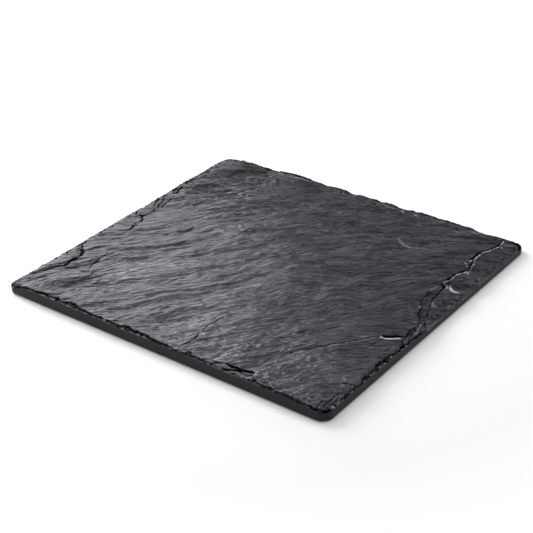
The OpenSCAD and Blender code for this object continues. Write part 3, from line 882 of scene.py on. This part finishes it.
# Colour: the pattern swings between a dark and a light colour, partly the melamine's own speckle and partly
# painted light and shade of the fine relief, with the seams at the foot of the layers painted dark as shade;
# the painted light and shade of the top shifts it, and pale marks (worn edges and painted highlights) and
# painted shade lie over it
swing = weigh(tree, 0.0, (beds, 0.5, 2.4), (fibres, 0.5, 1.0), (threads, 0.5, 2.2), (fine, 0.5, 2.0),
              (large_chips, 0.5, 0.4), (small_chips, 0.5, 1.0), (broad_seams, 0.08, -0.9),
              (thin_seams, 0.08, -0.9))
lightness = math_node(tree, "MULTIPLY_ADD", swing, strength, weigh(tree, 0.4, (painted_light_mask, 0, 0.3)))
colour = mix_colour(tree, lightness, melamine_and_shade_dark, melamine_and_sheen_light)
wear_and_highlight_mask = mask_of(tree, "wear_and_highlight").outputs["Fac"]
wear_and_highlight_share = math_node(tree, "MULTIPLY", wear_and_highlight_mask, math_node(tree, "ADD", fine, 0.35))
colour = mix_colour(tree, wear_and_highlight_share, colour, wear_and_highlight_grey)
painted_shade_mask = mask_of(tree, "painted_shade").outputs["Fac"]
colour = mix_colour(tree, painted_shade_mask, colour, painted_shade_black)
tree.links.new(colour, shader.inputs["Base Color"])
# Gloss: where shade is painted the surface is matt and, as a black metal, sends no light back, so the
# painted shade stays black
gloss = weigh(tree, 0.37, (fine, 0.5, 0.3), (painted_light_mask, 0, -0.04))
gloss = math_node(tree, "MAXIMUM", gloss, painted_shade_mask)
tree.links.new(gloss, shader.inputs["Roughness"])
tree.links.new(painted_shade_mask, shader.inputs["Metallic"])
# Relief too fine for the mesh, from the same pattern
fine_height = weigh(tree, 0.0, (fine, 0.5, 0.1), (threads, 0.5, 1.3), (fibres, 0.5, 0.5),
                    (large_chips, 0.5, 0.08), (small_chips, 0.5, 0.08), (broad_layers, 0.5, 0.18),
                    (thin_layers, 0.5, 0.15))
fine_height = math_node(tree, "MULTIPLY", fine_height, strength)
bump = add_node(tree, "ShaderNodeBump", Height=fine_height, Strength=1.0, Distance=0.0015)
tree.links.new(bump.outputs["Normal"], shader.inputs["Normal"])
shader.inputs["Specular Tint"].default_value = (0.88, 0.915, 1, 1)

skirt_dark = (0.008, 0.0082, 0.009, 1)
skirt_light = (0.015, 0.0153, 0.0163, 1)
skirt_finish, tree, shader = new_material("plain_melamine")
fine = add_speckle(tree, 0.0008)
broad = add_speckle(tree, 0.02)
tree.links.new(mix_colour(tree, broad, skirt_dark, skirt_light), shader.inputs["Base Color"])
tree.links.new(math_node(tree, "MULTIPLY_ADD", broad, 0.2, 0.42), shader.inputs["Roughness"])
bump = add_node(tree, "ShaderNodeBump", Height=fine, Strength=0.25, Distance=0.0001)
tree.links.new(bump.outputs["Normal"], shader.inputs["Normal"])
shader.inputs["Specular IOR Level"].default_value = 0.25

mesh.materials.append(riven_finish)
mesh.materials.append(skirt_finish)
finishes = np.ones(len(mesh.polygons), np.int32)
finishes[:top_count] = 0
mesh.polygons.foreach_set("material_index", finishes)
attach(tray, "root")
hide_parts("tray_body")

# Rubber bumpers
# Four moulded rubber buttons with a rounded lower edge, each stuck by its flat top into a seat of the tray.
# Their shape is the construction's own; only the finish is given here.
feet = [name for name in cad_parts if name.startswith("foot_")]
rubber_black = (0.012, 0.012, 0.0124, 1)
rubber_grey = (0.03, 0.03, 0.031, 1)
rubber, tree, shader = new_material("bumper_rubber")
fine = add_speckle(tree, 0.0009)
tree.links.new(mix_colour(tree, fine, rubber_black, rubber_grey), shader.inputs["Base Color"])
shader.inputs["Roughness"].default_value = 0.75
bump = add_node(tree, "ShaderNodeBump", Height=fine, Strength=0.4, Distance=0.0002)
tree.links.new(bump.outputs["Normal"], shader.inputs["Normal"])
for name in feet:
    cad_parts[name].data.materials.clear()
    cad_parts[name].data.materials.append(rubber)

# Adhesive discs
# Die-cut double-sided film that holds each bumper in its seat; hidden once the bumper is on.
# Their shape is the construction's own.
discs = [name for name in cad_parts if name.startswith("adhesive_")]
film_pale = (0.62, 0.59, 0.5, 1)
film_deep = (0.5, 0.46, 0.36, 1)
film, tree, shader = new_material("adhesive_film")
fine = add_speckle(tree, 0.0015)
tree.links.new(mix_colour(tree, fine, film_pale, film_deep), shader.inputs["Base Color"])
shader.inputs["Roughness"].default_value = 0.3
for name in discs:
    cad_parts[name].data.materials.clear()
    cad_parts[name].data.materials.append(film)

# Floor and light
# A plain white floor that runs into a white backdrop, a low soft light behind on the left that rakes over
# the slate, a larger one on the left that throws the shadow, a small low one at the right and a wide one
# overhead.
floor_half = 4
floor_corners = [(x * floor_half, y * floor_half, 0) for x, y in ((-1, -1), (1, -1), (1, 1), (-1, 1))]
floor_mesh = bpy.data.meshes.new("floor")
floor_mesh.from_pydata(floor_corners, [], [(0, 1, 2, 3)])
floor = bpy.data.objects.new("floor", floor_mesh)
bpy.context.scene.collection.objects.link(floor)
white, tree, shader = new_material("white_floor")
shader.inputs["Base Color"].default_value = (0.92, 0.92, 0.92, 1)
shader.inputs["Roughness"].default_value = 1
shader.inputs["Specular IOR Level"].default_value = 0
shader.inputs["Emission Color"].default_value = (1, 1, 1, 1)
seen = tree.nodes.new("ShaderNodeLightPath")
spot = tree.nodes.new("ShaderNodeNewGeometry")
far = tree.nodes.new("ShaderNodeVectorMath")
far.operation = "LENGTH"
tree.links.new(spot.outputs["Position"], far.inputs[0])
glow = tree.nodes.new("ShaderNodeMapRange")
near_floor = 0.3
far_floor = 1.2
least_glow = 0.1
for socket, value in zip(glow.inputs, (far.outputs["Value"], near_floor, far_floor, least_glow, 1.0)):
    plug(tree, socket, value)
seen_glow = math_node(tree, "MULTIPLY", seen.outputs["Is Camera Ray"], glow.outputs[0])
all_glow = math_node(tree, "MULTIPLY_ADD", seen.outputs["Is Glossy Ray"], least_glow, seen_glow)
tree.links.new(all_glow, shader.inputs["Emission Strength"])
floor_mesh.materials.append(white)


def add_light(name, place, width, depth, power):
    """A rectangular soft light at a place, facing the tray."""
    lamp = bpy.data.lights.new(name, "AREA")
    lamp.shape = "RECTANGLE"
    lamp.size = width
    lamp.size_y = depth
    lamp.energy = power
    light = bpy.data.objects.new(name, lamp)
    bpy.context.scene.collection.objects.link(light)
    light.location = place
    light.visible_camera = False
    light.rotation_euler = (-Vector(place)).to_track_quat("-Z", "Y").to_euler()


def light_place(azimuth, elevation, distance):
    """A point seen from the tray at an azimuth from +X and an elevation, both in degrees."""
    a = math.radians(azimuth)
    e = math.radians(elevation)
    out = distance * math.cos(e)
    return (out * math.cos(a), out * math.sin(a), distance * math.sin(e))


add_light("low_back_softbox", light_place(148, 14, 1.5), 0.8, 0.4, 7.2)
add_light("left_softbox", light_place(172, 36, 1.5), 0.8, 0.8, 17)
add_light("right_softbox", light_place(51, 8, 1.2), 0.6, 0.2, 1.5)
add_light("overhead_softbox", (0, 0, 2.6), 4, 4, 66)
world = bpy.data.worlds.new("studio")
bpy.context.scene.world = world
world.use_nodes = True
tree = world.node_tree
tree.nodes["Background"].inputs["Color"].default_value = (1, 1, 1, 1)
seen = tree.nodes.new("ShaderNodeLightPath")
brightness = math_node(tree, "MAXIMUM", seen.outputs["Is Camera Ray"], 0.05)
tree.links.new(brightness, tree.nodes["Background"].inputs["Strength"])

# Camera
# A short telephoto above the front right corner, turned a little about its own axis. Its angles, distance
# and aim were fitted to the outline of the tray in the photograph.
image_size = 533
focal_px = 1218.96
camera_azimuth = math.radians(38.543)
camera_height = math.radians(29.679)
camera_roll = math.radians(-2.3965)
camera_distance = 1.12655
middle_px = (3.07, 4.82)
level = Vector((math.cos(camera_azimuth), math.sin(camera_azimuth), 0))
ahead = Vector((-math.sin(camera_azimuth), math.cos(camera_azimuth), 0))
back = Vector((0, 0, math.sin(camera_height))) - math.cos(camera_height) * ahead
upright = back.cross(level)
right = math.cos(camera_roll) * level + math.sin(camera_roll) * upright
up = math.cos(camera_roll) * upright - math.sin(camera_roll) * level
per_px = camera_distance / focal_px
lens = bpy.data.cameras.new("camera")
lens.sensor_width = 36
lens.lens = focal_px / image_size * lens.sensor_width
lens.clip_start = 0.05
camera = bpy.data.objects.new("camera", lens)
bpy.context.scene.collection.objects.link(camera)
axes = Matrix((right, up, back)).transposed().to_4x4()
axes.translation = back * camera_distance - right * (middle_px[0] * per_px) + up * (middle_px[1] * per_px)
camera.matrix_world = axes
bpy.context.scene.camera = camera
bpy.context.scene.view_settings.view_transform = "Standard"
